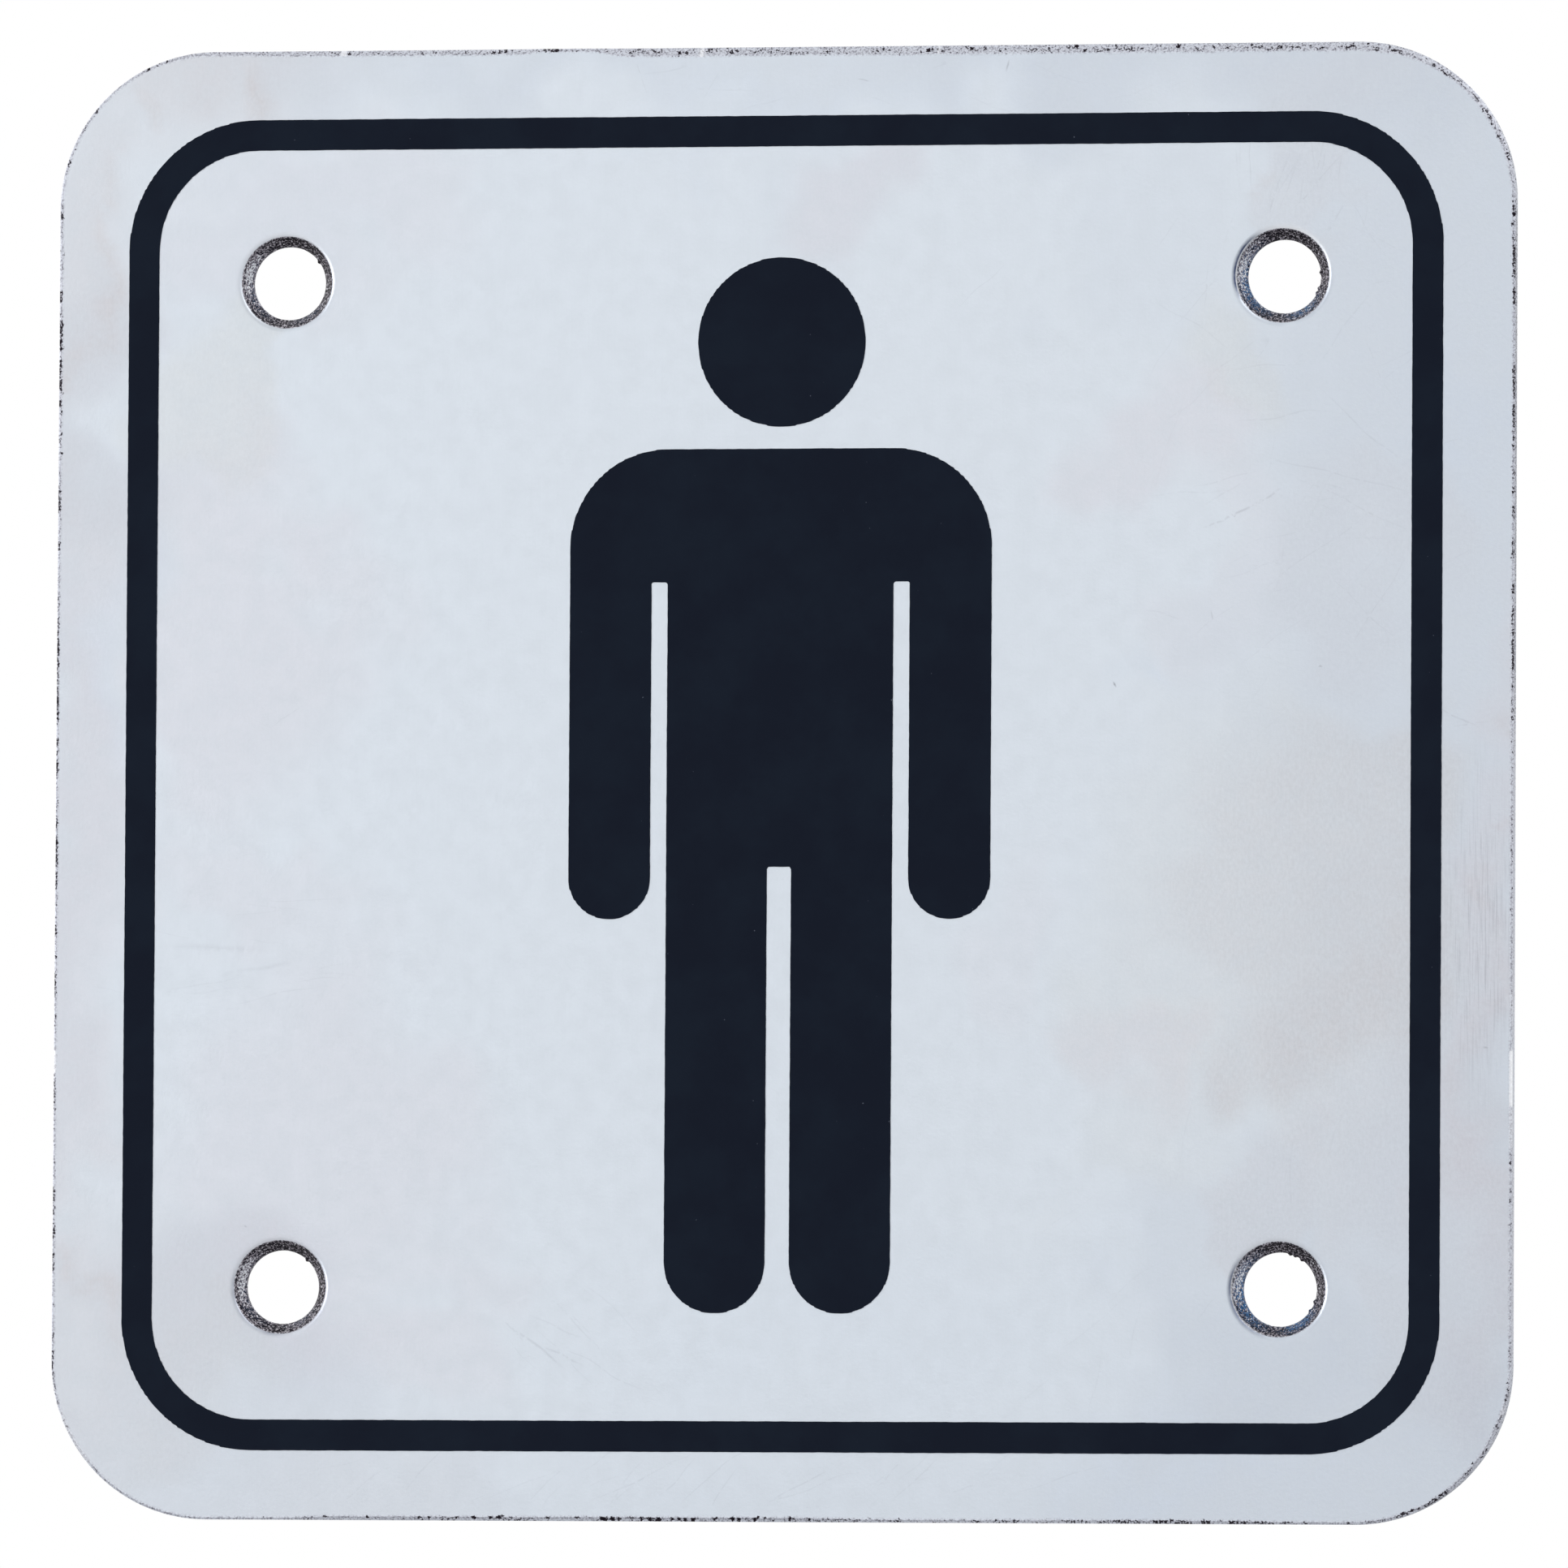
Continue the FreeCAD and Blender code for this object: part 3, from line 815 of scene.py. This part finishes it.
def ink_piece(name, material, node, outlines):
    """A film of ink inside its first outline and outside the others, from the plate's face to its own."""
    skin = Skin()
    fronts = []
    backs = []
    for outline in outlines:
        places = ragged(outline)
        fronts.append(skin.ring([{"at": (place.x, ink_y, place.y)} for place in places]))
        backs.append(skin.ring([{"at": (place.x, face_y, place.y)} for place in places]))
        skin.band(fronts[-1], backs[-1])
    skin.fill(fronts[0], fronts[1:])
    skin.fill(backs[0], backs[1:])
    return skin.piece(name, material, node, ink_fold_deg)


def border_piece(material):
    """The printed line round the plate."""
    half_x = border_high.x
    half_z = border_high.z
    inner_x = half_x - border_line_width
    inner_z = half_z - border_line_width
    inner_radius = border_corner_radius - border_line_width
    outlines = [
        rounded_rectangle(half_x, half_z, border_corner_radius),
        rounded_rectangle(inner_x, inner_z, inner_radius),
    ]
    return ink_piece("ink_border", material, "border_print", outlines)


def head_piece(material):
    """The figure's round head."""
    radius = head_high.x
    middle = (0, (head_low.z + head_high.z) / 2)
    outline = arc(middle, radius, 180, -180)
    return ink_piece("ink_head", material, "figure_head_print", [outline])


def figure_outline():
    """Shoulders, arms, torso and legs, drawn clockwise from the left shoulder."""
    shoulder_x = body_high.x
    shoulder_z = body_high.z
    turn_x = shoulder_x - shoulder_radius
    turn_z = shoulder_z - shoulder_radius
    arm_inner_x = torso_x + arm_gap
    hand_radius = (shoulder_x - arm_inner_x) / 2
    hand_x = shoulder_x - hand_radius
    hand_z = shoulder_z - arm_length + hand_radius
    leg_inner_x = leg_gap / 2
    foot_radius = (torso_x - leg_inner_x) / 2
    foot_x = torso_x - foot_radius
    foot_z = body_low.z + foot_radius
    arm_top = shoulder_z - arm_gap_drop
    leg_top = shoulder_z - torso_length
    corner = gap_corner_radius

    def gap(right, left, top, right_foot, left_foot):
        """Up one side of a bare line, across its square top and down the other side."""
        return (
            line((right, right_foot), (right, top - corner))
            + arc((right - corner, top - corner), corner, 0, 90)
            + line((right - corner, top), (left + corner, top))
            + arc((left + corner, top - corner), corner, 90, 180)
            + line((left, top - corner), (left, left_foot))
        )

    return (
        line((-turn_x, shoulder_z), (turn_x, shoulder_z))
        + arc((turn_x, turn_z), shoulder_radius, 90, 0)
        + line((shoulder_x, turn_z), (shoulder_x, hand_z))
        + arc((hand_x, hand_z), hand_radius, 0, -180)
        + gap(arm_inner_x, torso_x, arm_top, hand_z, foot_z)
        + arc((foot_x, foot_z), foot_radius, 0, -180)
        + gap(leg_inner_x, -leg_inner_x, leg_top, foot_z, foot_z)
        + arc((-foot_x, foot_z), foot_radius, 0, -180)
        + gap(-torso_x, -arm_inner_x, arm_top, foot_z, hand_z)
        + arc((-hand_x, hand_z), hand_radius, 0, -180)
        + line((-shoulder_x, hand_z), (-shoulder_x, turn_z))
        + arc((-turn_x, turn_z), shoulder_radius, 180, 90)
    )


def figure_piece(material):
    """The figure's body."""
    return ink_piece("ink_figure", material, "figure_body_print", [figure_outline()])


class Paint:
    """A material's node graph, built in short calls, with places in millimetres."""

    def __init__(self, name):
        self.material = bpy.data.materials.new(name)
        self.material.use_nodes = True
        self.tree = self.material.node_tree
        self.tree.nodes.clear()
        in_metres = self.node("ShaderNodeTexCoord").outputs["Object"]
        self.place = self.stretch(in_metres, 1 / metres, 1 / metres, 1 / metres)
        self.flat = self.stretch(self.place, 1, 0, 1)

    def put(self, socket, value):
        """Links a socket to another one, or sets its value."""
        if isinstance(value, bpy.types.NodeSocket):
            self.tree.links.new(value, socket)
        else:
            socket.default_value = value

    def node(self, kind, inputs=(), **settings):
        """A node with its settings and its first inputs in order."""
        made = self.tree.nodes.new(kind)
        for name, value in settings.items():
            setattr(made, name, value)
        for socket, value in zip(made.inputs, inputs):
            self.put(socket, value)
        return made

    def stretch(self, place, *scales):
        """A place scaled along each axis."""
        return self.node("ShaderNodeVectorMath", (place, scales), operation="MULTIPLY").outputs["Vector"]

    def maths(self, operation, first, second):
        return self.node("ShaderNodeMath", (first, second), operation=operation).outputs[0]

    def ramp(self, value, start, end, low=0.0, high=1.0):
        """A soft step from low at start to high at end."""
        inputs = (value, start, end, low, high)
        return self.node("ShaderNodeMapRange", inputs, interpolation_type="SMOOTHSTEP").outputs[0]

    def noise(self, place, size, detail=2.0, roughness=0.5):
        """Noise with features of this size: its value and its colour."""
        made = self.node("ShaderNodeTexNoise")
        self.put(made.inputs["Vector"], place)
        self.put(made.inputs["Scale"], 1 / size)
        self.put(made.inputs["Detail"], detail)
        self.put(made.inputs["Roughness"], roughness)
        return made.outputs[0], made.outputs[1]

    def streaks(self, across, up, detail, roughness=0.5):
        """Noise on the plate with features this long across and up."""
        return self.noise(self.stretch(self.flat, 1 / across, 1, 1 / up), 1, detail, roughness)[0]

    def patch(self, x, z, half_x, half_z, soft):
        """1 inside an ellipse on the plate and 0 outside, with a soft share at its rim."""
        made = self.node("ShaderNodeMapping", vector_type="TEXTURE")
        self.put(made.inputs["Vector"], self.flat)
        made.inputs["Location"].default_value = (x, 0, z)
        made.inputs["Scale"].default_value = (half_x, 1, half_z)
        away = self.node("ShaderNodeVectorMath", (made.outputs[0],), operation="LENGTH").outputs["Value"]
        return self.ramp(away, 1, 1 - soft)

    def mix(self, factor, first, second):
        """From the first colour to the second."""
        made = self.node("ShaderNodeMix", data_type="RGBA")
        self.put(made.inputs[0], factor)
        self.put(made.inputs[6], first)
        self.put(made.inputs[7], second)
        return made.outputs[2]

    def shade(self, colour, light):
        """A colour made lighter or darker by a number."""
        made = self.node("ShaderNodeVectorMath", operation="SCALE")
        self.put(made.inputs[0], colour if isinstance(colour, bpy.types.NodeSocket) else colour[:3])
        self.put(made.inputs["Scale"], light)
        return made.outputs[0]

    def bump(self, strength, distance, height):
        """A bumpy normal, with the distance in metres that a height of 1 stands for."""
        made = self.node("ShaderNodeBump")
        self.put(made.inputs["Strength"], strength)
        self.put(made.inputs["Distance"], distance)
        self.put(made.inputs["Height"], height)
        return made.outputs[0]

    def painted(self, name):
        """A number that the mesh is painted with."""
        return self.node("ShaderNodeAttribute", attribute_name=name).outputs["Fac"]

    def tint(self, name):
        """A colour that the mesh is painted with."""
        return self.node("ShaderNodeAttribute", attribute_name=name).outputs["Color"]

    def finish(self, **sockets):
        """The shader and the output, with sockets named by their own names in lower case."""
        shader = self.node("ShaderNodeBsdfPrincipled")
        by_name = {socket.name.lower().replace(" ", "_"): socket for socket in shader.inputs}
        for name, value in sockets.items():
            self.put(by_name[name], value)
        output = self.node("ShaderNodeOutputMaterial")
        self.tree.links.new(shader.outputs[0], output.inputs[0])
        return self.material


def steel_material():
    """Satin stainless steel, stained and scratched on the front, speckled at its knocked edges."""
    paint = Paint("satin_stainless_steel")
    depth = paint.node("ShaderNodeSeparateXYZ", (paint.place,)).outputs[1]
    front = paint.ramp(depth, face_y * 0.6, face_y * 0.9)

    # Metal with stains and painted shade, a cloudy tone, fine grain and upright streaks, grittier where it is
    # soiled
    cloud = paint.noise(paint.place, 1.6, 3, 0.7)[0]
    grain = paint.noise(paint.place, 0.25, 2, 0.6)[0]
    grit = paint.streaks(0.2, 0.4, 2, 0.7)
    streaks = paint.streaks(0.12, 3.5, 3)
    cloudy = paint.ramp(cloud, 0.3, 0.7, 0.997, 1.003)
    tone = paint.maths("ADD", cloudy, paint.ramp(grain, 0.3, 0.7, -0.005, 0.005))
    gritty = paint.maths("MULTIPLY", paint.painted("soil"), paint.ramp(grit, 0.3, 0.7, -0.045, 0.035))
    tone = paint.maths("ADD", tone, gritty)
    streaky = paint.ramp(front, 0, 1, 0.015, 0.004)
    streaky = paint.maths("MULTIPLY", streaky, paint.ramp(streaks, 0.3, 0.7, -1, 1))
    tone = paint.maths("ADD", tone, streaky)
    stained = paint.mix(paint.ramp(cloud, 0.35, 0.6, 0.75, 1.0), steel_colour, paint.tint("metal"))
    colour = paint.shade(stained, tone)

    # Scratches, and brushing left on the right margin
    brushed = paint.patch(*brushed_area, 0.8)
    brushed = paint.maths("MULTIPLY", brushed, paint.ramp(streaks, 0.46, 0.7, 0, brushed_strength))
    brushed = paint.maths("MULTIPLY", brushed, front)
    colour = paint.mix(paint.maths("ADD", paint.painted("scratch"), brushed), colour, scratch_colour)

    # Knocked edge: mottled raw metal, darkened with grime and painted shade
    worn = paint.painted("worn")
    grime = paint.painted("grime")
    fresh = paint.painted("fresh")
    wall = paint.painted("wall")
    glint = paint.painted("glint")
    mottle, mottle_tints = paint.noise(paint.place, 0.14, 2, 0.7)
    raw = paint.mix(paint.ramp(mottle, 0.42, 0.62), worn_colour, worn_dark_colour)
    # The bevel darkened by grime and by painted shade that tones down its highlight
    raw = paint.mix(paint.maths("MULTIPLY", grime, 0.6), raw, edge_colour)
    colour = paint.mix(paint.maths("MULTIPLY", worn, 0.9), colour, raw)

    # Pressed hole wall: coarse grain darkened by grime and painted shade, painted sparkle highlights
    # and patches of painted bluish reflection
    lean = paint.maths("SUBTRACT", paint.maths("MULTIPLY", glint, 0.11), paint.maths("MULTIPLY", grime, 0.16))
    wall_level = paint.maths("ADD", mottle, lean)
    wall_tone = paint.mix(paint.ramp(wall_level, 0.5, 0.43), wall_colour, wall_dark_colour)
    blue = paint.ramp(paint.node("ShaderNodeSeparateColor", (mottle_tints,)).outputs[2], 0.45, 0.51)
    wall_tone = paint.mix(paint.maths("MULTIPLY", blue, paint.painted("blue")), wall_tone, wall_blue_reflection_colour)
    # Painted sparkle highlights
    wall_tone = paint.mix(paint.ramp(wall_level, 0.57, 0.61), wall_tone, wall_bright_colour)
    colour = paint.mix(wall, colour, wall_tone)

    # Dark speckle of grime and painted shade, and bright chips and painted highlights
    threshold = paint.maths("SUBTRACT", 0.71, paint.maths("MULTIPLY", grime, 0.4))
    dark = paint.ramp(paint.maths("SUBTRACT", mottle, threshold), -0.015, 0.07)
    dark = paint.maths("MULTIPLY", dark, paint.ramp(grime, 0.0, 0.1))
    dark = paint.maths("MULTIPLY", dark, paint.ramp(wall, 1.0, 0.5))
    colour = paint.mix(dark, colour, grime_colour)
    colour = paint.mix(fresh, colour, fresh_colour)

    roughness = paint.ramp(cloud, 0.3, 0.7, 0.36, 0.42)
    for rougher, more in ((wall, 0.12), (worn, 0.2), (dark, 0.2)):
        roughness = paint.maths("ADD", roughness, paint.maths("MULTIPLY", rougher, more))
    bump = paint.bump(0.18, 0.00004, grain)
    return paint.finish(base_color=colour, metallic=1.0, roughness=roughness, normal=bump)


def ink_material():
    """Matt blue-black screen ink, faintly patchy, with a few pinholes."""
    paint = Paint("matt_screen_ink")
    patches = paint.noise(paint.place, 5, 4, 0.6)[0]
    colour = paint.mix(paint.ramp(patches, 0.35, 0.7), ink_colour, ink_patch_colour)
    specks = paint.noise(paint.place, 0.3, 1)[0]
    colour = paint.mix(paint.ramp(specks, 0.8, 0.86), colour, ink_speck_colour)
    grain = paint.noise(paint.place, 0.25, 3, 0.6)[0]
    roughness = paint.ramp(patches, 0.3, 0.7, 0.62, 0.74)
    bump = paint.bump(0.12, 0.00002, grain)
    return paint.finish(base_color=colour, roughness=roughness, specular_ior_level=0.08, normal=bump)


def floor_material():
    """Plain pale floor with the faintest unevenness."""
    paint = Paint("pale_floor")
    uneven = paint.noise(paint.place, 400, 2)[0]
    colour = paint.shade(floor_colour, paint.ramp(uneven, 0.3, 0.7, 0.99, 1.0))
    return paint.finish(base_color=colour, roughness=0.9, specular_ior_level=0.1)


def white_background():
    """A world that looks white and lights the object at a plain level."""
    world = bpy.data.worlds.new("studio")
    world.use_nodes = True
    bpy.context.scene.world = world
    tree = world.node_tree
    tree.nodes.clear()
    path = tree.nodes.new("ShaderNodeLightPath")
    seen = path.outputs["Is Camera Ray"]
    for name in ("Is Glossy Ray", "Is Transmission Ray"):
        either = tree.nodes.new("ShaderNodeMath")
        either.operation = "MAXIMUM"
        tree.links.new(seen, either.inputs[0])
        tree.links.new(path.outputs[name], either.inputs[1])
        seen = either.outputs[0]
    level = tree.nodes.new("ShaderNodeMapRange")
    level.inputs["To Min"].default_value = ambient_level
    tree.links.new(seen, level.inputs["Value"])
    background = tree.nodes.new("ShaderNodeBackground")
    background.inputs["Color"].default_value = (1, 1, 1, 1)
    tree.links.new(level.outputs[0], background.inputs["Strength"])
    output = tree.nodes.new("ShaderNodeOutputWorld")
    tree.links.new(background.outputs[0], output.inputs[0])


def floor():
    """A wide pale floor under the sign, which hangs above it."""
    mesh = bpy.data.meshes.new("floor")
    half = floor_size / 2
    z = (plate_low.z - floor_drop) * metres
    corners = [(-half, -half, z), (half, -half, z), (half, half, z), (-half, half, z)]
    mesh.from_pydata(corners, [], [(0, 1, 2, 3)])
    mesh.materials.append(floor_material())
    new_object("floor", mesh)


def soft_lamp(name, place, size, power):
    """A square lamp that faces the sign's middle, with its place and size in metres."""
    data = bpy.data.lights.new(name, "AREA")
    data.shape = "SQUARE"
    data.size = size
    data.energy = power
    lamp = new_object(name, data)
    lamp.location = place
    lamp.rotation_euler = Vector(place).to_track_quat("Z", "Y").to_euler()


def camera():
    """The photograph's viewpoint."""
    data = bpy.data.cameras.new("camera")
    data.sensor_fit = "HORIZONTAL"
    data.sensor_width = sensor_width
    data.lens = focal_length
    made = new_object("camera", data)
    made.location = Vector(camera_place) * metres
    made.rotation_euler = [math.radians(angle) for angle in camera_turn]
    bpy.context.scene.camera = made


hole_middles = [Vector((hole.across, hole.up)) * hole_place for hole in holes]

camera()
white_background()
floor()
for lamp in lamps:
    soft_lamp(*lamp)

plate_piece(steel_material())
ink = ink_material()
border_piece(ink)
head_piece(ink)
figure_piece(ink)

bpy.context.scene.view_settings.view_transform = "Standard"
